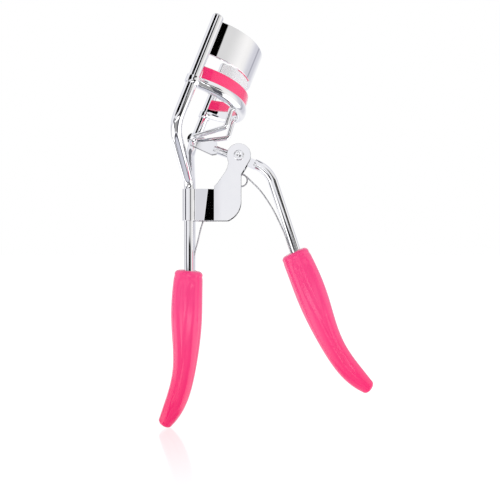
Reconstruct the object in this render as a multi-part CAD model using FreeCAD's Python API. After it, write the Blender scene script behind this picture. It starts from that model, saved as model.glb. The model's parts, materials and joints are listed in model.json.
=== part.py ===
import FreeCAD, Part
import math
import os

V = FreeCAD.Vector
os.makedirs("parts", exist_ok=True)

# Eyelash curler. Millimetres. X runs from the fixed handle to the moving one,
# Y from the front to the back, Z up. The metalwork is mirror-symmetric about
# Y = 0. The dimensions below are measured from a point on the floor under the
# tool; every solid is moved by -HOLD at the end, so that the finished part's
# origin lies inside the fixed grip, on the stem's line, where the hand holds it.
HOLD = (-22.98, 0.0, 32.0)

# ---- frame rods -----------------------------------------------------------
ROD_R = 1.45            # both frame rods and the lever are 2.9 mm rod
POST_TILT = 22.0        # the posts lean this many degrees towards +X
POST_Y = 15.0           # half the distance between the two posts
BEND = (-24.2, 83.5)    # X, Z where each post bends towards the stem
BEND_R = 7.0
POST_LEN = 30.45        # from the bend to the free top end
STEM_X = -22.2
STEM_Y = 1.5            # the two rods lie side by side in the stem
STEM_TOP_Z = 71.4       # where the slanting run meets the stem
STEM_BEND_R = 4.0
STEM_END_Z = 21.0       # cut end inside the fixed grip
POST_END_FILLET = 0.45

# ---- head -----------------------------------------------------------------
JAW_TILT = 15.0         # the jaw arcs slope down this much towards +X
HEAD = (-17.87, 99.15)  # X, Z of the post axis at the jaw line
ARC_END_Q = 0.94        # the clamp plate's chord stands this far in front of the post axis
ARC_HALF = 13.7         # half that chord
UPPER_SAG = 11.1
UPPER_T = 0.7
UPPER_END_Q = -0.35     # the plate's ends run into the posts as far as this
UPPER_LOW = 4.0         # heights along the post, from HEAD
UPPER_TOP = 13.0
LOWER_R = 14.05         # the lower jaw's arc, at the pad's outer face
LOWER_C = -1.15         # its centre, in front of the post axis
LOWER_END_Q = 0.6       # the channel's ends, in front of the post axis
PAD_END_Q = 1.18        # and the pad's
PAD_TOP = 0.7           # heights square to the jaw arcs, from HEAD
PAD_LOW = -2.55
PAD_W = 2.45            # radial width of the pad's exposed band
PAD_ROUND_OUT = 0.45
PAD_ROUND_IN = 1.1
TONGUE_LOW = -3.6       # the pad's root inside the channel
TONGUE_GAP = 0.08       # the root to the channel's walls
CH_WALL = 0.4
CH_FRONT = 0.08         # the channel's front lip stands this far outside LOWER_R
CH_BACK = -2.15         # and its back wall this far inside
CH_LOW = -6.0           # channel floor at the middle of the arc
CH_RISE = 1.0           # the floor is this much higher at the arc's ends
SLEEVE_LOW = -5.1
SLEEVE_TOP = -3.25
SLEEVE_WALL = 0.32
SLIDE_GAP = 0.06        # sleeve to post, each side
POST_CLEAR = 0.24       # the channel's ends to the post, each side

# ---- drive link -----------------------------------------------------------
LINK_R = 0.70
LINK_Y = 6.0            # half spacing where it enters the lower jaw
LINK_EYE_Y = 2.9        # half spacing at the lever's eye
LINK_BEND = (9.75, -6.1)    # Q and height where each leg turns into the channel
LINK_TIP = (10.75, -5.0)    # and where it ends inside
LINK_CORNER = (-11.5, 85.9)
LINK_RADII = (0.75, 1.3, 1.0)   # of its bends, from the hooked end to the cross bar
EYE = (-21.1, 83.9)
LINK_GAP = 0.10         # hooked end to its hole in the channel
EYE_GAP = 0.12          # cross bar to the lever's eye

# ---- lever ----------------------------------------------------------------
PIVOT = (-7.99, 79.0)
BOSS_R = 2.9
BOSS_T = 2.4
BLADE_T = 1.8
NECK_R = 1.15
EYE_BOSS_R = 1.75
BLADE = ((-21.1, 85.4), (-14.35, 82.95), (-14.25, 79.9), (-14.7, 79.65), (-15.85, 79.5),
         (-21.75, 82.2))
NECK = ((-15.2, 81.2), (-9.9, 79.25))
KNEE = (0.79, 74.99)
KNEE_R = 8.5
COLLAR_D = 4.75         # from the knee's corner back to the shoulder
FLAT_H = 2.3            # the flattened run between the boss and the shoulder
FLAT_DROP = 0.25        # it lies this much below the rod's middle
LEVER_ANGLE = 18.1      # the straight run's slope from the vertical
LEVER_END = 52.0        # length of the straight run, knee to cut end

# ---- pivot bracket and rivet ----------------------------------------------
SHEET = 0.5
EAR_IN = 1.5            # inner face of each ear
BRACKET_LOW = 60.35
BRACKET_TOP = 69.35
CURL = 52.0             # degrees that the sheet follows each rod past its side
FLANK_X = -20.35        # then it runs to the flat flank, from here
FLANK_END_X = -17.3     # to here
FLANK_Y = 2.13          # inner face of each flank
EAR_START_X = -15.0     # where the ears become flat
EAR_R = 3.42
RIVET_R = 1.0
RIVET_HEAD_R = 1.5
RIVET_HEAD_T = 0.55
RIVET_DIMPLE_R = 0.65
RIVET_DIMPLE_D = 0.3
RIVET_GAP = 0.05        # rivet to the lever's bore

# ---- torsion spring -------------------------------------------------------
WIRE_R = 0.22
COIL = (-7.35, 72.15)
COIL_R = 1.75
COIL_PITCH = 0.56
COIL_TURNS = 1.25
COIL_START = 45.0       # degrees round the coil where the lever's leg leaves it
LEG_REACH = 25.0        # from the knee to where that leg meets the handle
LEG_Y = -0.95           # the lever's leg runs between the coil and the front ear

# ---- grips: distance down the rod, sideways drift, radius -----------------
GRIP = ((0.0, 0.0, 3.98), (3.6, 0.33, 4.25), (7.3, 0.48, 4.41), (14.5, 0.68, 4.43),
        (20.5, 0.82, 4.01), (25.3, 0.99, 3.55), (30.0, 1.6, 3.29), (34.5, 2.65, 3.18),
        (38.5, 4.04, 3.0), (41.4, 5.36, 2.67), (43.6, 6.7, 2.15))
GRIP_MOUTH_ROUND = 1.2
GRIP_TIP_ROUND = 1.1
TIP_LEAN = 0.65         # sideways drift of the tip's end, per distance down the rod
LEFT_GRIP = (-22.45, 46.1)
RIGHT_GRIP = (7.86, 51.4)
RIGHT_GRIP_ANGLE = 19.9

tilt = math.radians(POST_TILT)
jaw = math.radians(JAW_TILT)
UP = V(math.sin(tilt), 0, math.cos(tilt))          # along the posts
OUT = V(math.cos(jaw), 0, -math.sin(jaw))          # from the posts to the arc
SQUARE = V(math.sin(jaw), 0, math.cos(jaw))        # square to the jaw arcs
HEAD_P = V(HEAD[0], 0, HEAD[1])
PIVOT_P = V(PIVOT[0], 0, PIVOT[1])


def xz(point, y=0.0):
    return V(point[0], y, point[1])


def head(q, y, h):
    return HEAD_P + OUT * q + UP * h + V(0, y, 0)


def filleted(points, radii):
    """A wire through points, its inner corners rounded with radii."""
    edges = []
    start = points[0]
    for i in range(1, len(points) - 1):
        a = (points[i - 1] - points[i]).normalize()
        b = (points[i + 1] - points[i]).normalize()
        half = math.acos(max(-1, min(1, a.dot(b)))) / 2
        reach = radii[i - 1] / math.tan(half)
        mid = (a + b).normalize()
        centre = points[i] + mid * (radii[i - 1] / math.sin(half))
        first = points[i] + a * reach
        last = points[i] + b * reach
        if (first - start).Length > 1e-4:
            edges.append(Part.makeLine(start, first))
        edges.append(Part.Arc(first, centre - mid * radii[i - 1], last).toShape())
        start = last
    edges.append(Part.makeLine(start, points[-1]))
    return Part.Wire(edges)


def tube(wire, radius):
    edge = wire.OrderedEdges[0]
    at = edge.valueAt(edge.FirstParameter)
    along = edge.tangentAt(edge.FirstParameter)
    profile = Part.Face(Part.Wire([Part.makeCircle(radius, at, along)]))
    return wire.makePipe(profile)


def spline(points, first=None, last=None):
    curve = Part.BSplineCurve()
    if first is None:
        curve.interpolate(Points=points)
    else:
        curve.interpolate(Points=points, InitialTangent=first, FinalTangent=last)
    return Part.Wire([curve.toShape()])


def rod(a, b, radius):
    return Part.makeCylinder(radius, (b - a).Length, a, b - a)


def plate(outline, y0, y1):
    face = Part.Face(Part.makePolygon([xz(p, y0) for p in outline] + [xz(outline[0], y0)]))
    return face.extrude(V(0, y1 - y0, 0))


def arc_band(centre, r_in, r_out, span, low, high, along):
    """A curved bar between two arcs about one centre, from height low to high."""
    def at(r, angle):
        return (HEAD_P + OUT * (centre + r * math.cos(angle)) + V(0, r * math.sin(angle), 0)
                + along * low)
    outer = Part.Arc(at(r_out, -span), at(r_out, 0), at(r_out, span)).toShape()
    inner = Part.Arc(at(r_in, span), at(r_in, 0), at(r_in, -span)).toShape()
    face = Part.Face(Part.Wire([outer, Part.makeLine(at(r_out, span), at(r_in, span)), inner,
                                Part.makeLine(at(r_in, -span), at(r_out, -span))]))
    return face.extrude(along * (high - low))


def mirrored(shape):
    return shape.mirror(V(0, 0, 0), V(0, 1, 0))


def save(shape, name):
    shape = shape.removeSplitter() if shape.ShapeType != "Solid" else shape
    solids = shape.Solids
    if len(solids) != 1 or not shape.isValid():
        print("CHECK", name, len(solids), shape.isValid())
    solid = solids[0].copy()
    solid.translate(V(*HOLD) * -1)
    solid.exportStep("parts/%s.step" % name)
    box = solid.optimalBoundingBox()
    print("%-18s %9.2f mm3  X %7.2f %7.2f  Y %7.2f %7.2f  Z %7.2f %7.2f" % (
        name, shape.Volume, box.XMin, box.XMax, box.YMin, box.YMax, box.ZMin, box.ZMax))
    return solids[0]


# ---- the two frame rods ---------------------------------------------------
def frame_path(side):
    bend = xz(BEND, side * POST_Y)
    return filleted([bend + UP * POST_LEN, bend, V(STEM_X, side * STEM_Y, STEM_TOP_Z),
                     V(STEM_X, side * STEM_Y, STEM_END_Z)], [BEND_R, STEM_BEND_R])


def frame_rod(side):
    body = tube(frame_path(side), ROD_R)
    top = xz(BEND, side * POST_Y) + UP * POST_LEN
    edge = min(body.Edges, key=lambda e: (e.CenterOfMass - top).Length
               if e.Curve.TypeId == "Part::GeomCircle" else 1e9)
    return body.makeFillet(POST_END_FILLET, [edge])


def post_cutter(side, radius):
    """A rod on a post's axis, longer than either jaw is tall."""
    return rod(head(0, side * POST_Y, CH_LOW - 3), head(0, side * POST_Y, UPPER_TOP + 3), radius)


# ---- the head -------------------------------------------------------------
def make_upper_jaw():
    r = (ARC_HALF ** 2 + UPPER_SAG ** 2) / (2 * UPPER_SAG)
    centre = ARC_END_Q + UPPER_SAG - r
    span = math.acos((UPPER_END_Q - centre) / r)
    body = arc_band(centre, r - UPPER_T, r, span, UPPER_LOW, UPPER_TOP, UP)
    for side in (-1, 1):
        body = body.cut(post_cutter(side, ROD_R))
    return body


def channel_section(angle, span):
    """The trough's cross-section as a closed wire, at one angle round the arc."""
    rise = CH_RISE * (angle / span) ** 2
    low, top, t = CH_LOW + rise, PAD_LOW, CH_WALL
    outward = OUT * math.cos(angle) + V(0, math.sin(angle), 0)
    centre = HEAD_P + OUT * LOWER_C

    def at(r, h):
        return centre + outward * (LOWER_R + r) + SQUARE * h
    outer = [(CH_FRONT, top), (0.38, top - 0.7), (0.5, low + 1.75), (0.3, low + 0.75),
             (-0.4, low), (-1.3, low), (-1.85, low + 0.65), (-2.1, low + 1.6), (CH_BACK, top)]
    inner = [(CH_BACK + t, top), (-2.1 + t, low + 1.7), (-1.85 + t, low + 0.65 + t),
             (-1.2, low + t), (-0.5, low + t), (0.3 - t, low + 0.8 + t * 0.6),
             (0.5 - t, low + 1.8), (0.38 - t, top - 0.75), (CH_FRONT - t, top)]
    edges = []
    for run in (outer, inner):
        curve = Part.BSplineCurve()
        curve.interpolate(Points=[at(r, h) for r, h in run])
        edges.append(curve.toShape())
    edges.insert(1, Part.makeLine(at(*outer[-1]), at(*inner[0])))
    edges.append(Part.makeLine(at(*inner[-1]), at(*outer[0])))
    return Part.Wire(edges)


def jaw_at(point, y=0.0):
    return HEAD_P + OUT * point[0] + SQUARE * point[1] + V(0, y, 0)


def hook_hinge():
    return (jaw_at(LINK_BEND) + jaw_at(LINK_TIP)) * 0.5


def make_lower_jaw():
    span = math.acos((LOWER_END_Q - LOWER_C) / LOWER_R)
    steps = 10
    body = Part.makeLoft([channel_section(span * (2 * i / steps - 1), span)
                          for i in range(steps + 1)], True, False)
    for side in (-1, 1):
        low, top = head(0, side * POST_Y, SLEEVE_LOW), head(0, side * POST_Y, SLEEVE_TOP)
        body = body.cut(post_cutter(side, ROD_R + POST_CLEAR))
        body = body.fuse(rod(low, top, ROD_R + SLIDE_GAP + SLEEVE_WALL))
        body = body.cut(post_cutter(side, ROD_R + SLIDE_GAP))
        a, b = jaw_at(LINK_BEND, side * LINK_Y), jaw_at(LINK_TIP, side * LINK_Y)
        body = body.cut(rod(a - (b - a) * 0.5, b + (b - a) * 0.3, LINK_R + LINK_GAP))
    return body


def make_pad():
    span = math.acos((PAD_END_Q - LOWER_C) / LOWER_R)
    band = arc_band(LOWER_C, LOWER_R - PAD_W, LOWER_R, span, PAD_LOW, PAD_TOP, SQUARE)
    for r, radius in ((LOWER_R, PAD_ROUND_OUT), (LOWER_R - PAD_W, PAD_ROUND_IN)):
        on_arc = jaw_at((LOWER_C + r, PAD_TOP))
        rim = min(band.Edges, key=lambda e: e.distToShape(Part.Vertex(on_arc))[0])
        band = band.makeFillet(radius, [rim])
    gap = CH_WALL + TONGUE_GAP
    tongue = arc_band(LOWER_C, LOWER_R + CH_BACK + gap, LOWER_R + CH_FRONT - gap,
                      span * 0.985, TONGUE_LOW, PAD_LOW + 0.2, SQUARE)
    return band.fuse(tongue).removeSplitter()


# ---- drive link -----------------------------------------------------------
def make_link():
    runs = []
    for side in (-1, 1):
        runs.append([jaw_at(LINK_TIP, side * LINK_Y), jaw_at(LINK_BEND, side * LINK_Y),
                     xz(LINK_CORNER, side * LINK_Y), xz(EYE, side * LINK_EYE_Y)])
    path = filleted(runs[0] + runs[1][::-1], LINK_RADII + LINK_RADII[::-1])
    return tube(path, LINK_R)


# ---- lever ----------------------------------------------------------------
def lever_down():
    a = math.radians(LEVER_ANGLE)
    return V(math.sin(a), 0, -math.cos(a))


def lever_path():
    knee = xz(KNEE)
    back = (PIVOT_P - knee).normalize()
    return filleted([knee + back * COLLAR_D, knee, knee + lever_down() * LEVER_END], [KNEE_R])


def make_lever():
    knee = xz(KNEE)
    back = (PIVOT_P - knee).normalize()
    body = tube(lever_path(), ROD_R)
    normal = V(back.z, 0, -back.x)               # away from the knee, upwards
    across = normal * (FLAT_H / 2)
    a = knee + back * (COLLAR_D - 0.6) - normal * FLAT_DROP
    b = PIVOT_P - normal * FLAT_DROP
    flat = Part.Face(Part.makePolygon([p + V(0, -BOSS_T / 2, 0) for p in (
        a - across, a + across, b + across, b - across, a - across)]))
    body = body.fuse(flat.extrude(V(0, BOSS_T, 0)))
    body = body.fuse(Part.makeCylinder(BOSS_R, BOSS_T, PIVOT_P - V(0, BOSS_T / 2, 0), V(0, 1, 0)))
    body = body.fuse(plate(BLADE, -BLADE_T / 2, BLADE_T / 2))
    body = body.fuse(Part.makeCylinder(EYE_BOSS_R, BLADE_T, xz(EYE, -BLADE_T / 2), V(0, 1, 0)))
    body = body.fuse(rod(xz(NECK[0]), xz(NECK[1]), NECK_R))
    body = body.cut(Part.makeCylinder(RIVET_R + RIVET_GAP, 9, PIVOT_P - V(0, 4.5, 0), V(0, 1, 0)))
    body = body.cut(Part.makeCylinder(LINK_R + EYE_GAP, 9, xz(EYE, -4.5), V(0, 1, 0)))
    return body


# ---- bracket and rivet ----------------------------------------------------
def wrap_side(grow, side, z):
    """One flank of the sheet in plan, from the flat back to the ear: edges and end points."""
    r = ROD_R + grow
    dip = math.radians(CURL)
    centre = V(STEM_X, side * STEM_Y, z)

    def round_rod(angle):
        return centre + V(r * math.sin(angle), side * r * math.cos(angle), 0)
    start, last = round_rod(-math.pi / 2), round_rod(dip)
    flank = V(FLANK_X, side * (FLANK_Y + grow), z)
    turn = V(FLANK_END_X, side * (FLANK_Y + grow), z)
    ear = V(EAR_START_X, side * (EAR_IN + grow), z)
    end = V(-10.5, side * (EAR_IN + grow), z)
    edges = [Part.Arc(start, round_rod((dip - math.pi / 2) / 2), last).toShape(),
             Part.makeLine(last, flank), Part.makeLine(flank, turn), Part.makeLine(turn, ear),
             Part.makeLine(ear, end)]
    return edges, start, end


def wrap_face(grow, z):
    """Plan outline of the folded sheet, moved outwards by grow from its inner face."""
    near, a, b = wrap_side(grow, -1, z)
    far, c, d = wrap_side(grow, 1, z)
    return Part.Face(Part.Wire(Part.__sortEdges__(near + far + [Part.makeLine(a, c),
                                                                Part.makeLine(b, d)])))


def ear_outline():
    """One ear seen from the side, as a closed wire at Y = 0."""
    def at(u, w):
        return V(PIVOT[0] + u, 0, PIVOT[1] + w)
    low = BRACKET_LOW - PIVOT[1]
    top = BRACKET_TOP - PIVOT[1]
    left = EAR_START_X - 3.0 - PIVOT[0]
    a = math.radians(-24)
    start = at(EAR_R * math.cos(a), EAR_R * math.sin(a))
    end = at(-EAR_R * math.cos(math.radians(26)), -EAR_R * math.sin(math.radians(26)))
    flank = Part.BSplineCurve()
    flank.interpolate(Points=[end, at(-3.25, -3.3), at(-4.12, -5.0), at(-5.35, -6.8),
                              at(-6.6, -8.4), at(-7.6, -9.3), at(-8.7, top)],
                      InitialTangent=V(0.2, 0, -1), FinalTangent=V(-1, 0, -0.12))
    edges = [
        Part.Arc(start, at(0, EAR_R), end).toShape(),
        flank.toShape(),
        Part.makeLine(at(-8.7, top), at(left, top)),
        Part.makeLine(at(left, top), at(left, low)),
        Part.makeLine(at(left, low), at(-3.24, low)),
        Part.Arc(at(-3.24, low), at(-0.62, low + 1.95), at(0.65, low + 6.3)).toShape(),
        Part.makeLine(at(0.65, low + 6.3), at(0.68, -5.4)),
        Part.makeLine(at(0.68, -5.4), start),
    ]
    return Part.Wire(edges)


def make_bracket():
    z0, z1 = BRACKET_LOW, BRACKET_TOP
    sheet = wrap_face(SHEET, z0).extrude(V(0, 0, z1 - z0))
    sheet = sheet.cut(wrap_face(0, z0 - 1).extrude(V(0, 0, z1 - z0 + 2)))
    sheet = sheet.cut(Part.makeBox(10, 20, 20, V(EAR_START_X + 0.2, -10, z0 - 5)))
    ears = None
    for y in (-EAR_IN - SHEET, EAR_IN):
        wire = ear_outline()
        wire.translate(V(0, y, 0))
        ear = Part.Face(wire).extrude(V(0, SHEET, 0))
        ear = ear.cut(Part.makeBox(10, 20, 30, V(EAR_START_X - 10, -10, z0 - 5)))
        ears = ear if ears is None else ears.fuse(ear)
    body = sheet.fuse(ears)
    body = body.cut(Part.makeCylinder(RIVET_R, 9, PIVOT_P - V(0, 4.5, 0), V(0, 1, 0)))
    return body.removeSplitter()


def make_rivet():
    face = EAR_IN + SHEET
    body = Part.makeCylinder(RIVET_R, 2 * face, PIVOT_P - V(0, face, 0), V(0, 1, 0))
    for side in (-1, 1):
        axis = V(0, side, 0)
        at = PIVOT_P + axis * face
        disc = Part.makeCylinder(RIVET_HEAD_R, RIVET_HEAD_T, at, axis)
        rim = max(disc.Edges, key=lambda e: e.CenterOfMass.dot(axis))
        disc = disc.makeFillet(0.35, [rim])
        body = body.fuse(disc)
        body = body.cut(Part.makeCylinder(RIVET_DIMPLE_R, 1, at + axis * (
            RIVET_HEAD_T - RIVET_DIMPLE_D), axis))
    return body.removeSplitter()


# ---- torsion spring -------------------------------------------------------
def coil_point(angle, y):
    return V(COIL[0] + COIL_R * math.cos(angle), y, COIL[1] + COIL_R * math.sin(angle))


def make_spring():
    rise = COIL_PITCH * COIL_TURNS
    coil = Part.makeHelix(COIL_PITCH, rise, COIL_R)
    coil.rotate(V(0, 0, 0), V(0, 0, 1), COIL_START)
    coil.rotate(V(0, 0, 0), V(1, 0, 0), 90)
    coil.translate(V(COIL[0], rise / 2, COIL[1]))
    body = tube(Part.Wire(coil.Edges), WIRE_R)
    end = math.radians(COIL_START + 360 * COIL_TURNS)
    y = -rise / 2
    joint = coil_point(end, y)
    along = V(-math.sin(end), 0, math.cos(end))
    valley = STEM_X + math.sqrt((ROD_R + WIRE_R + 0.03) ** 2 - STEM_Y ** 2)
    pts = [joint, V(-12.6, y * 0.9, 67.4), V(-16.0, y * 0.5, 63.9), V(-18.35, 0, 60.2),
           V(-19.9, 0, 54.5), V(-21.0, 0, 50.2), V(valley, 0, 46.5), V(valley, 0, 43.0),
           V(valley, 0, 38.0)]
    body = body.fuse(tube(spline(pts, along * 5, V(0, 0, -1) * 5), WIRE_R))
    return mirrored(body.fuse(Part.makeSphere(WIRE_R * 1.01, joint)))


def make_spring_leg():
    down = lever_down()
    side = V(down.z, 0, -down.x)                 # towards the fixed handle
    axis = xz(KNEE) + down * LEG_REACH
    beside = axis + V(0, LEG_Y, 0) + side * 1.42
    start = coil_point(math.radians(COIL_START), LEG_Y)
    slope = V(1, 0, -1).normalize()
    pts = [start + slope * 0.35, start + slope * 2.2]
    pts += [xz(p, LEG_Y) for p in ((-2.45, 69.75), (0.2, 66.2), (2.35, 62.6), (4.05, 59.0),
                                   (5.4, 55.9), (6.4, 52.9))]
    pts += [beside + down * s for s in (1.0, 4.0, 8.0)]
    return tube(spline(pts, slope * 2, down * 4), WIRE_R)


# ---- grips ----------------------------------------------------------------
def grip_stations():
    """The sleeve's stations, with more of them where its mouth and its tip are rounded."""
    (s0, w0, r0), (s1, w1, r1) = GRIP[0], GRIP[-1]
    quarter = [math.radians(a) for a in (0, 22, 44, 66)]
    mouth = [(s0 + GRIP_MOUTH_ROUND * (1 - math.sin(a)), w0,
              r0 - GRIP_MOUTH_ROUND * (1 - math.cos(a))) for a in quarter]
    mouth.append((s0, w0, r0 - GRIP_MOUTH_ROUND))
    tip = [(s1 + GRIP_TIP_ROUND * math.sin(a), w1 + GRIP_TIP_ROUND * math.sin(a) * TIP_LEAN,
            r1 - GRIP_TIP_ROUND * (1 - math.cos(a))) for a in quarter]
    tip.append((s1 + GRIP_TIP_ROUND, w1 + GRIP_TIP_ROUND * TIP_LEAN, r1 - GRIP_TIP_ROUND))
    return mouth[::-1] + [g for g in GRIP if s0 + GRIP_MOUTH_ROUND < g[0] < s1] + tip


def make_grip(mouth, down, out):
    stations = grip_stations()
    centres = [xz(mouth) + down * s + out * w for s, w, r in stations]
    curve = Part.BSplineCurve()
    curve.interpolate(Points=centres, InitialTangent=down * 2, FinalTangent=(
        down + out * TIP_LEAN) * 2)
    wires = []
    for (s, w, r), c in zip(stations, centres):
        along = curve.tangent(curve.parameter(c))[0]
        wires.append(Part.Wire([Part.Circle(c, along, r).toShape()]))
    return Part.makeLoft(wires, True, False)


front = save(frame_rod(-1), "frame_rod_front")
back = save(frame_rod(1), "frame_rod_back")
save(make_upper_jaw(), "upper_jaw")
save(make_lower_jaw(), "lower_jaw")
save(make_pad(), "lash_pad")
save(make_link(), "drive_link")
lever = save(make_lever(), "lever")
save(make_bracket(), "pivot_bracket")
save(make_rivet(), "pivot_rivet")
spring = save(make_spring(), "torsion_spring")
leg = save(make_spring_leg(), "spring_lever_leg")
left = make_grip(LEFT_GRIP, V(0, 0, -1), V(-1, 0, 0))
save(left.cut(front).cut(back).cut(spring), "left_grip")
splay = math.radians(RIGHT_GRIP_ANGLE)
right = make_grip(RIGHT_GRIP, V(math.sin(splay), 0, -math.cos(splay)),
                  V(math.cos(splay), 0, math.sin(splay)))
save(right.cut(lever).cut(leg), "right_grip")
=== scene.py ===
import json
import math

import bmesh
import bpy
import numpy as np
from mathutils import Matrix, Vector


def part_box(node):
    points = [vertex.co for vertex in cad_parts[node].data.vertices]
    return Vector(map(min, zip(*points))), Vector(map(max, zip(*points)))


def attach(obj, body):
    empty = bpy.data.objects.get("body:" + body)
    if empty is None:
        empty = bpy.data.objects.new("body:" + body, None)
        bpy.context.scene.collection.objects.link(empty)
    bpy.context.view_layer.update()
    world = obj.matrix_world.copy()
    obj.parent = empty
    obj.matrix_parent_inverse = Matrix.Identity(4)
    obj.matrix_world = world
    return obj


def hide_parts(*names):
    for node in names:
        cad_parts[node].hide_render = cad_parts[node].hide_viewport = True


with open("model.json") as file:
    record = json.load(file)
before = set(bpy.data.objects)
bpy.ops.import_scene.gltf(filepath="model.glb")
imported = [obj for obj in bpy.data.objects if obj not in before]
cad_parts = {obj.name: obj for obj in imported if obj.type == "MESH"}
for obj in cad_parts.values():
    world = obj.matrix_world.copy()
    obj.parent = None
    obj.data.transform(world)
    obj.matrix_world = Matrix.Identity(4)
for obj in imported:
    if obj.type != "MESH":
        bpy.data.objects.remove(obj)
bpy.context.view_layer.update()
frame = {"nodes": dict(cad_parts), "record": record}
scene = bpy.context.scene
nodes = frame["nodes"]
slot_of = {entry["node"]: entry["material_slot"] for entry in frame["record"]["subparts"]}
body_of = {node: body for body, its_nodes in frame["record"]["behaviour"]["bodies"].items()
           for node in its_nodes}

# Shapes are worked out in millimetres from the floor under the tool, as the frame's own
# dimensions are, unless a comment says otherwise. HOLD is the frame's origin in those terms.
HOLD = Vector((-22.98, 0.0, 32.0))
MM = 0.001


def place(point):
    """A point in millimetres, from the floor under the tool, in the frame's metres."""
    return (Vector(point) - HOLD) * MM


# ---- node graphs ------------------------------------------------------------
class Graph:
    """The nodes of a material or the world, with short calls that add and link them."""

    def __init__(self, owner):
        owner.use_nodes = True
        self.tree = owner.node_tree
        self.coords = self.add("TexCoord").outputs

    def feed(self, socket, value):
        """Links an output to a socket, or sets the socket to a number, point or colour."""
        if isinstance(value, bpy.types.NodeSocket):
            self.tree.links.new(value, socket)
        elif socket.type == "RGBA":
            socket.default_value = (*value, 1)
        else:
            socket.default_value = value

    def put(self, node, **inputs):
        """Feeds a node's inputs by name, with _ for a space."""
        for name, value in inputs.items():
            self.feed(node.inputs[name.replace("_", " ")], value)

    def add(self, kind, **inputs):
        """A new node, with its inputs fed by name."""
        node = self.tree.nodes.new("ShaderNode" + kind)
        self.put(node, **inputs)
        return node

    def operate(self, kind, operation, *values):
        """The outputs of a new Math or VectorMath node, fed with values in their order."""
        node = self.add(kind)
        node.operation = operation
        for socket, value in zip(node.inputs, values):
            self.feed(socket, value)
        return node.outputs

    def math(self, operation, *values):
        """The result of one operation on numbers."""
        return self.operate("Math", operation, *values)["Value"]

    def split(self, vector):
        """The outputs X, Y and Z of a vector."""
        return self.add("SeparateXYZ", Vector=vector).outputs

    def span(self, value, low, high, at_low=0.0, at_high=1.0, smooth=False):
        """A value from low..high mapped onto at_low..at_high, and held there beyond them."""
        node = self.add("MapRange", Value=value, From_Min=low, From_Max=high,
                        To_Min=at_low, To_Max=at_high)
        node.interpolation_type = "SMOOTHSTEP" if smooth else "LINEAR"
        return node.outputs["Result"]

    def between(self, value, low, high, soft):
        """1 from low to high and 0 outside, with edges that fade over soft to either side."""
        return self.math("MULTIPLY", self.span(value, low - soft, low + soft, smooth=True),
                         self.span(value, high + soft, high - soft, smooth=True))

    def mix(self, factor, a, b, blend="MIX"):
        """Two colours blended by a factor. The node's colour sockets share names with others."""
        node = self.add("Mix")
        node.data_type = "RGBA"
        node.blend_type = blend
        for at, value in ((0, factor), (6, a), (7, b)):
            self.feed(node.inputs[at], value)
        return node.outputs[2]

    def ramp(self, value, *stops):
        """A colour for a value, from two stops: where each is, and its colour."""
        node = self.add("ValToRGB", Fac=value)
        for element, (at, colour) in zip(node.color_ramp.elements, stops):
            element.position = at
            element.color = (*colour, 1)
        return node.outputs["Color"]

    def noise(self, scale, detail, roughness, stretch=(1, 1, 1)):
        """Noise of about scale waves a metre, drawn out along an axis whose stretch is below 1."""
        mapping = self.add("Mapping", Vector=self.coords["Object"], Scale=stretch)
        node = self.add("TexNoise", Vector=mapping.outputs["Vector"], Scale=scale,
                        Detail=detail, Roughness=roughness)
        return node.outputs["Fac"]


class Shader(Graph):
    """A material's graph, with its surface shader."""

    def __init__(self, name):
        self.material = bpy.data.materials.new(name)
        super().__init__(self.material)

    def set(self, **inputs):
        """Feeds the surface shader's inputs by name."""
        self.put(self.tree.nodes["Principled BSDF"], **inputs)

    def bump(self, height, distance):
        """Roughens the surface by a height from 0 to 1, worth a distance in metres."""
        self.set(Normal=self.add("Bump", Height=height, Distance=distance).outputs["Normal"])

    def facing_away(self, point):
        """Positive where the surface faces away from a point, negative where it faces it."""
        away = self.operate("VectorMath", "SUBTRACT", self.coords["Object"], point)["Vector"]
        return self.operate("VectorMath", "DOT_PRODUCT", self.coords["Normal"], away)["Value"]


# ---- materials --------------------------------------------------------------
HAZY, CLEAR = (0.90, 0.905, 0.925), (0.955, 0.955, 0.96)     # the plating's two tones
SHEARED = 0.12           # brightness of the sheets' cut edges next to the plating's
SATIN = 0.45             # extra roughness on the clamp plate's hollow face
SCATTER = 0.65           # and how much of its metal look the satin takes away
PAINTED_SHADE_LOW, PAINTED_SHADE_HIGH = -0.030, 0.006    # metres in the frame: where the painted shade makes the vinyl deepest, and where palest


def chrome(name="chrome_plate", satin_towards=None, tone=1.0):
    """Bright plating: a faint waviness, hairline wipes and a breath of haze in patches.

    satin_towards is a point, in the frame: surfaces that face it are satin, not bright."""
    s = Shader(name)
    haze = s.noise(90, 4, 0.6)
    wipes = s.noise(2600, 2, 0.5, stretch=(1, 1, 0.06))
    hazy, clear = [[c * tone for c in colour] for colour in (HAZY, CLEAR)]
    s.set(Metallic=1.0, IOR=2.2, Base_Color=s.ramp(haze, (0.35, hazy), (0.7, clear)))
    rough = s.math("ADD", s.span(haze, 0.4, 0.75, 0.015, 0.04), s.span(wipes, 0.55, 0.8, 0, 0.02))
    if satin_towards:
        satin = s.math("LESS_THAN", s.facing_away(satin_towards), 0.0)
        rough = s.math("ADD", rough, s.math("MULTIPLY", satin, SATIN))
        s.set(Metallic=s.math("SUBTRACT", 1.0, s.math("MULTIPLY", satin, SCATTER)))
    s.set(Roughness=rough)
    s.bump(s.noise(380, 1, 0.4), 0.000004)
    return s.material


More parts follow.
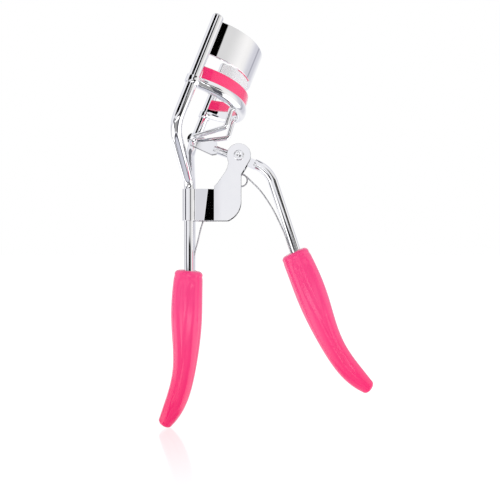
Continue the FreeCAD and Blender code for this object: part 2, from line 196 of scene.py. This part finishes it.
def grip_vinyl():
    """Glossy dipped vinyl with fine moulding ripple, its pink painted deeper towards the tips as
    painted shade.
    """
    s = Shader("grip_vinyl")
    # painted shade: the pink is mixed from deep, low down at the tips, to pale, high up, in place
    # of the darker light the tips get
    height = s.span(s.split(s.coords["Object"])["Z"], PAINTED_SHADE_LOW, PAINTED_SHADE_HIGH)
    tone = s.mix(height, (0.98, 0.0, 0.145), (0.96, 0.04, 0.225))
    mottle = s.ramp(s.noise(160, 4, 0.55), (0.3, (0.96, 0.96, 0.96)), (0.7, (1, 1, 1)))
    s.set(Base_Color=s.mix(1.0, tone, mottle, "MULTIPLY"), Roughness=0.4, IOR=1.36,
          Coat_Weight=0.85, Coat_Roughness=0.15)
    s.bump(s.noise(110, 1, 0.3), 0.000010)
    return s.material


def pad_silicone():
    """Silicone, faintly clouded, with a finely uneven gloss."""
    s = Shader("pad_silicone")
    cloud = s.ramp(s.noise(260, 3, 0.5), (0.3, (0.93, 0.006, 0.135)), (0.75, (0.97, 0.02, 0.17)))
    gloss = s.span(s.noise(900, 3, 0.6), 0.3, 0.7, 0.24, 0.38)
    s.set(Base_Color=cloud, Roughness=gloss, IOR=1.44, Coat_Weight=1.0, Coat_Roughness=0.09)
    s.bump(s.noise(1500, 3, 0.5), 0.000012)
    return s.material


def spring_wire():
    """Drawn wire: grey, with lengthwise die marks."""
    s = Shader("spring_wire")
    marks = s.noise(3000, 3, 0.6, stretch=(1, 1, 0.1))
    s.set(Metallic=1.0, Roughness=s.span(marks, 0.3, 0.7, 0.18, 0.34),
          Base_Color=s.ramp(marks, (0.3, (0.42, 0.42, 0.44)), (0.7, (0.72, 0.72, 0.74))))
    s.bump(marks, 0.000006)
    return s.material


LOOKS = {"chrome_plate": chrome(), "sheared_edge": chrome("sheared_edge", tone=SHEARED),
         "spring_wire": spring_wire(), "grip_vinyl": grip_vinyl(),
         "pad_silicone": pad_silicone()}


# ---- studio -----------------------------------------------------------------
WHITE = (1.04, 1.04, 1.04)       # the tent on matt surfaces
TENT = (0.90, 0.90, 0.93)        # and in reflections, where no card is
BLACK = (0.0, 0.0, 0.0)

# Cards that reflections see: from and to azimuth, measured from the front towards +X,
# from and to elevation, the tone, and how far the card's edges fade to either side, in
# degrees. Later cards lie in front of earlier ones.
CARDS = (
    # pale and grey ones round the sides and the back
    (22, 100, -40, 40, (0.74, 0.735, 0.73), 10),
    (66, 104, -30, 36, (1.0, 0.985, 0.97), 20),
    (108, 150, -30, 60, (0.66, 0.66, 0.72), 12),
    (-180, -152, -30, 60, (0.84, 0.84, 0.90), 8),
    (-152, -120, 15, 44, (0.66, 0.67, 0.74), 2),
    (126, 131, -40, 20, (0.40, 0.40, 0.46), 2),
    # low ones at the left, the front and the right
    (-130, -50, -48, -10, (1.7, 1.7, 1.7), 3),
    (-25, 27, -48, -12, (0.35, 0.35, 0.35), 3),
    (-25, 27, -15, -5, (2.6, 2.6, 2.6), 3),
    (27, 58, -48, -13, (0.1, 0.1, 0.12), 2),
    (58, 120, -48, -8, (1.7, 1.7, 1.7), 3),
    # in front, to the left
    (-56, -7, 13, 48, BLACK, 1),
    (-66, -44, -5, 9, (0.06, 0.06, 0.08), 1),
    (-46, -30, -30, -9, BLACK, 1),
    (-34, -7, -10, -2.4, BLACK, 1),
    (-12, -4.3, 2, 9.5, (0.735, 0.735, 0.775), 0.8),
    # in front, in the middle and to the right
    (19, 33, 1, 31, BLACK, 1),
    (10, 20, 9.5, 20, BLACK, 1),
    (-2, 29, -6, 1.5, BLACK, 1),
    (30, 47, -10, 1.0, BLACK, 1),
    (46, 64, -13, -3.2, BLACK, 1),
    (36, 66, 12.5, 27, BLACK, 1),
    # a narrow dark one at the left side
    (-118, -106, -50, 10, (0.10, 0.10, 0.12), 1),
    # overhead and underfoot
    (-181, 181, 62, 91, (0.20, 0.20, 0.22), 1),
    (-181, 181, -91, -52, (0.62, 0.63, 0.70), 1),
    (-100, 100, -64, -52, (0.12, 0.12, 0.14), 1))


def studio():
    """A white tent, in which dark and grey cards give the chrome its lines.

    Only reflections see the cards. Matt surfaces are lit by the plain tent, and the
    camera sees white behind the tool."""
    scene.world = bpy.data.worlds.new("tent")
    g = Graph(scene.world)
    towards = g.split(g.coords["Generated"])
    front = g.math("MULTIPLY", towards["Y"], -1.0)
    azimuth = g.math("DEGREES", g.math("ARCTAN2", towards["X"], front))
    elevation = g.math("DEGREES", g.math("ARCSINE", towards["Z"]))
    seen = TENT
    for left, right, low, high, tone, soft in CARDS:
        card = g.math("MULTIPLY", g.between(azimuth, left, right, soft),
                      g.between(elevation, low, high, soft))
        seen = g.mix(card, seen, tone)
    ray = g.add("LightPath").outputs
    lit = g.mix(ray["Is Glossy Ray"], WHITE, seen)
    g.put(g.tree.nodes["Background"], Color=g.mix(ray["Is Camera Ray"], lit, (1, 1, 1)))


# ---- floor ------------------------------------------------------------------
FLOOR_RADIUS = 4.0       # metres, as all the floor's lengths are
FLOOR_GAP = 0.00002      # between the tool's lowest point and the floor
GLOW = 1.16              # keeps the board white where it mirrors the tent's grey cards
MIRROR = 0.30            # how strongly the floor mirrors what stands on it
MIRROR_BLUR = 0.12       # the reflection's roughness
MIRROR_NEAR = 0.006      # from under the frame's origin, where the reflection starts to fade
MIRROR_FAR = 0.055       # and where it is gone


def floor():
    """A white board that mirrors the tips faintly. The chrome sees the tent in its place."""
    low = min(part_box(n)[0].z for n in nodes) - FLOOR_GAP
    bpy.ops.mesh.primitive_circle_add(vertices=96, radius=FLOOR_RADIUS, fill_type="NGON",
                                      location=(0, 0, low))
    disc = bpy.context.object
    disc.name = "floor"
    material = bpy.data.materials.new("floor_white")
    g = Graph(material)
    g.tree.nodes.remove(g.tree.nodes["Principled BSDF"])
    glow = g.add("Emission", Color=(1, 1, 1), Strength=GLOW)
    mirror = g.add("BsdfGlossy", Roughness=MIRROR_BLUR)
    away = g.operate("VectorMath", "LENGTH", g.coords["Object"])["Value"]
    fading = g.span(away, MIRROR_NEAR, MIRROR_FAR, MIRROR, 0.0)
    mixed = g.add("MixShader")
    for socket, value in zip(mixed.inputs, (fading, glow.outputs[0], mirror.outputs[0])):
        g.feed(socket, value)
    g.put(g.tree.nodes["Material Output"], Surface=mixed.outputs[0])
    disc.data.materials.append(material)
    disc.visible_glossy = False


# ---- camera -----------------------------------------------------------------
EYE = (-4.8, -127.5, 52.0)       # looking level along +Y
LENS, SENSOR = 31.73, 36.0
NEAREST = 0.01                   # metres from the eye, where the view starts


def camera():
    """The scene's camera, at EYE."""
    data = bpy.data.cameras.new("camera")
    data.sensor_width = SENSOR
    data.lens = LENS
    data.clip_start = NEAREST
    eye = bpy.data.objects.new("camera", data)
    scene.collection.objects.link(eye)
    eye.location = place(EYE)
    eye.rotation_euler = (math.radians(90), 0, 0)
    scene.camera = eye


def stand_in(edit, name):
    """Shows an edited mesh instead of a CAD node, with the node's material and body."""
    mesh = bpy.data.meshes.new(name + "_look")
    edit.to_mesh(mesh)
    edit.free()
    mesh.materials.append(LOOKS[slot_of[name]])
    piece = bpy.data.objects.new(name + "_look", mesh)
    scene.collection.objects.link(piece)
    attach(piece, body_of[name])
    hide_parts(name)
    return piece


# ---- sheet parts, lever and rivet: the CAD shapes with their edges rounded ----
SHARP = math.radians(28)            # an edge that turns more than this is rounded
FLAT = math.radians(0.2)            # faces that turn less than this become one
WELD = 1e-7                         # metres: points closer than this become one
ON_FOLD = 1e-6                      # metres: a point nearer than this is on a fold
FOLDS = (-20.35, -17.3, -15.0)      # X of the bracket's folds; the middle one slants
FOLD_LEAN = 0.55                    # its top stands this far towards +X, its foot towards -X
EDGEWISE = 0.85                     # a face whose normal has less Y than this is a cut edge
PLATE_ROUND = 0.18                  # width of each piece's rounded edges
BRACKET_ROUND = 0.14
LEVER_ROUND = 0.2
CHANNEL_ROUND = 0.08
RIVET_ROUND = 0.1
BRACKET_SHEARED = (-17.0, 0.0)      # X between which a piece's cut edges are duller
LEVER_SHEARED = (-22.0, -14.2)


def softened(name, width, segments=3, folds=(), sheared=None):
    """A piece in place of CAD node name, its shape the same but each sharp edge rounded.

    Upright edges at the X of a fold are rounded too, however shallow they are, and the
    middle fold leans. Between the two X of sheared, the sheet's cut edges are duller."""
    edit = bmesh.new()
    edit.from_mesh(nodes[name].data)
    bmesh.ops.remove_doubles(edit, verts=edit.verts, dist=WELD)
    bmesh.ops.dissolve_limit(edit, angle_limit=FLAT, verts=edit.verts, edges=edit.edges)
    places = [place((x, 0, 0)).x for x in folds]

    def at_fold(edge):
        return any(all(abs(v.co.x - x) < ON_FOLD for v in edge.verts) for x in places)

    edges = [e for e in edit.edges if e.calc_face_angle(0) > SHARP or at_fold(e)]
    if folds:
        middle = places[len(places) // 2]
        leaning = [v for v in edit.verts if abs(v.co.x - middle) < ON_FOLD]
        centre = sum(v.co.z for v in leaning) / len(leaning)
        for v in leaning:
            v.co.x += math.copysign(FOLD_LEAN * MM, v.co.z - centre)
    bmesh.ops.bevel(edit, geom=edges, offset=width * MM, segments=segments, profile=0.5,
                    affect="EDGES", clamp_overlap=True)
    for face in edit.faces:
        face.smooth = True
    piece = stand_in(edit, name)
    shading = piece.modifiers.new("even_shading", "WEIGHTED_NORMAL")
    shading.keep_sharp = True
    if sheared:
        piece.data.materials.append(LOOKS["sheared_edge"])
        low, high = [place((x, 0, 0)).x for x in sheared]
        for face in piece.data.polygons:
            if low < face.center.x < high and abs(face.normal.y) < EDGEWISE:
                face.material_index = 1
    return piece


def plate_centre():
    """The point, in the frame, about which the clamp plate is bent."""
    low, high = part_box("upper_jaw")
    return ((low.x * 2 + high.x) / 3, 0.0, (low.z + high.z) / 2)


# ---- grips: dipped sleeves, each with a thumb ridge between two creases -----
# Distance down the rod, sideways drift and radius, as the CAD sleeves have them.
GRIP = ((0.0, 0.0, 3.98), (3.6, 0.33, 4.25), (7.3, 0.48, 4.41), (14.5, 0.68, 4.43),
        (20.5, 0.82, 4.01), (25.3, 0.99, 3.55), (30.0, 1.6, 3.29), (34.5, 2.65, 3.18),
        (38.5, 4.04, 3.0), (41.4, 5.36, 2.67), (43.6, 6.7, 2.15))
DRIFT_DEGREE, RADIUS_DEGREE = 6, 7       # of the smooth curves through them
MOUTH_ROUND = 1.2
TIP_ROUND = 1.1
ROD = 2.9                # diameter of the frame's rods and the lever's
BORE_SPARE = 0.04        # between a rod and the bore
BORE_DEEP = 2.5
RIM = 0.1                # least wall round the bore, where the rods come near the mouth's edge
AROUND = 144             # points in a ring
STEP = 0.4               # from ring to ring
QUARTER = [math.radians(a) for a in range(8, 90, 9)]     # rings of a rounded mouth or tip
LIP_AT, LIP_DEEP, LIP_WIDE = 1.7, 0.12, 0.4      # the furrow below the mouth's bead
CREASE_DEEP = 0.3
CREASE_WIDE = 11.0       # degrees round the sleeve
CREASE_APART = 20.0      # degrees from the ridge's middle to each crease, near the mouth
CREASE_DRIFT = 12.0      # degrees that the ridge turns outwards on its way down
CREASE_FROM, CREASE_MEET, CREASE_TO = 5.0, 33.0, 42.0    # distances from the mouth

# Each sleeve's mouth in X and Z, its slope in degrees, the side along X that its tip
# leans to, and how far the rods in its bore lie from the middle.
GRIPS = {"left_grip": ((-22.45, 46.1), 0.0, -1, 1.5),
         "right_grip": ((7.86, 51.4), 19.9, 1, 0.0)}


def ease(value, low, high):
    """0 up to low, 1 from high on, and a smooth rise between."""
    t = min(1.0, max(0.0, (value - low) / (high - low)))
    return t * t * (3 - 2 * t)


def pressed_in(along, turn):
    """Depth of the furrow and creases, at a distance from the mouth and degrees outwards."""
    apart = CREASE_APART * (1 - ease(along, CREASE_FROM, CREASE_MEET))
    middle = CREASE_DRIFT * ease(along, 0, CREASE_MEET)
    near = min(abs(turn - middle - apart), abs(turn - middle + apart))
    strength = ease(along, LIP_AT, CREASE_FROM) * (1 - ease(along, CREASE_MEET, CREASE_TO))
    lip = LIP_DEEP * math.exp(-((along - LIP_AT) / LIP_WIDE) ** 2)
    return lip + CREASE_DEEP * strength * math.exp(-(near / CREASE_WIDE) ** 2)


def bore(across, aside):
    """Radius of the mouth's hole in a direction, round rods that lie aside of its middle."""
    radius = ROD / 2 + BORE_SPARE
    along = abs(across.y) * aside
    return along + math.sqrt(max(0.0, radius ** 2 - aside ** 2 + along ** 2))


def around(level):
    """Directions round a sleeve, from the one that points level."""
    turns = [math.tau * step / AROUND for step in range(AROUND)]
    return [level * math.cos(turn) + Vector((0, 1, 0)) * math.sin(turn) for turn in turns]


def grip_rings():
    """Distance down the rod and inset from the radius, from the mouth to the tip."""
    rings = [(MOUTH_ROUND * (1 - math.sin(a)), MOUTH_ROUND * (1 - math.cos(a)))
             for a in QUARTER[::-1]]
    rings += [(s, 0.0) for s in np.arange(MOUTH_ROUND, GRIP[-1][0], STEP)]
    return rings + [(GRIP[-1][0] + TIP_ROUND * math.sin(a), TIP_ROUND * (1 - math.cos(a)))
                    for a in [0.0] + QUARTER]


def grip(name, mouth, slope, side, aside):
    """A sleeve with its mouth at a point; down the rod it slopes, and its tip leans to a side."""
    angle = math.radians(slope)
    down = Vector((math.sin(angle), 0, -math.cos(angle)))
    out = Vector((math.cos(angle), 0, math.sin(angle))) * side
    table = np.array(GRIP)
    drift = np.polynomial.Polynomial.fit(table[:, 0], table[:, 1], DRIFT_DEGREE)
    radius = np.polynomial.Polynomial.fit(table[:, 0], table[:, 2], RADIUS_DEGREE)
    points = [down * deep + across * bore(across, aside)
              for deep in (BORE_DEEP, 0.0) for across in around(out)]
    for at, inset in grip_rings():
        on = min(at, GRIP[-1][0])
        slant = float(drift.deriv()(on))
        along = (down + out * slant).normalized()
        level = (out - along * out.dot(along)).normalized()
        centre = down * on + out * float(drift(on) - drift(0)) + along * (at - on)
        for across in around(level):
            outwards = math.degrees(math.atan2(across.dot(level), abs(across.y)))
            reach = float(radius(on)) - inset - pressed_in(at, outwards)
            least = bore(across, aside) + RIM if at < BORE_DEEP else 0.0
            points.append(centre + across * max(reach, least))
    rows = len(points) // AROUND
    faces = [tuple(range(AROUND)), tuple(range((rows - 1) * AROUND, rows * AROUND))]
    for row in range(rows - 1):
        for step in range(AROUND):
            a, b = row * AROUND + step, row * AROUND + (step + 1) % AROUND
            faces.append((a, b, b + AROUND, a + AROUND))
    start = place((mouth[0], 0, mouth[1]))
    edit = bmesh.new()
    corners = [edit.verts.new(start + p * MM) for p in points]
    for face in faces:
        edit.faces.new([corners[i] for i in face]).smooth = len(face) == 4
    bmesh.ops.recalc_face_normals(edit, faces=edit.faces)
    stand_in(edit, name)


# ---- the whole tool ---------------------------------------------------------
for name, node in nodes.items():
    node.data.materials.clear()
    node.data.materials.append(LOOKS[slot_of[name]])

plate = softened("upper_jaw", PLATE_ROUND)
plate.data.materials[0] = chrome("chrome_clamp_plate", satin_towards=plate_centre())
softened("pivot_bracket", BRACKET_ROUND, folds=FOLDS, sheared=BRACKET_SHEARED)
softened("lever", LEVER_ROUND, sheared=LEVER_SHEARED)
softened("lower_jaw", CHANNEL_ROUND, segments=2)
softened("pivot_rivet", RIVET_ROUND, segments=2)
for name, its_shape in GRIPS.items():
    grip(name, *its_shape)
studio()
floor()
camera()
scene.view_settings.view_transform = "Standard"
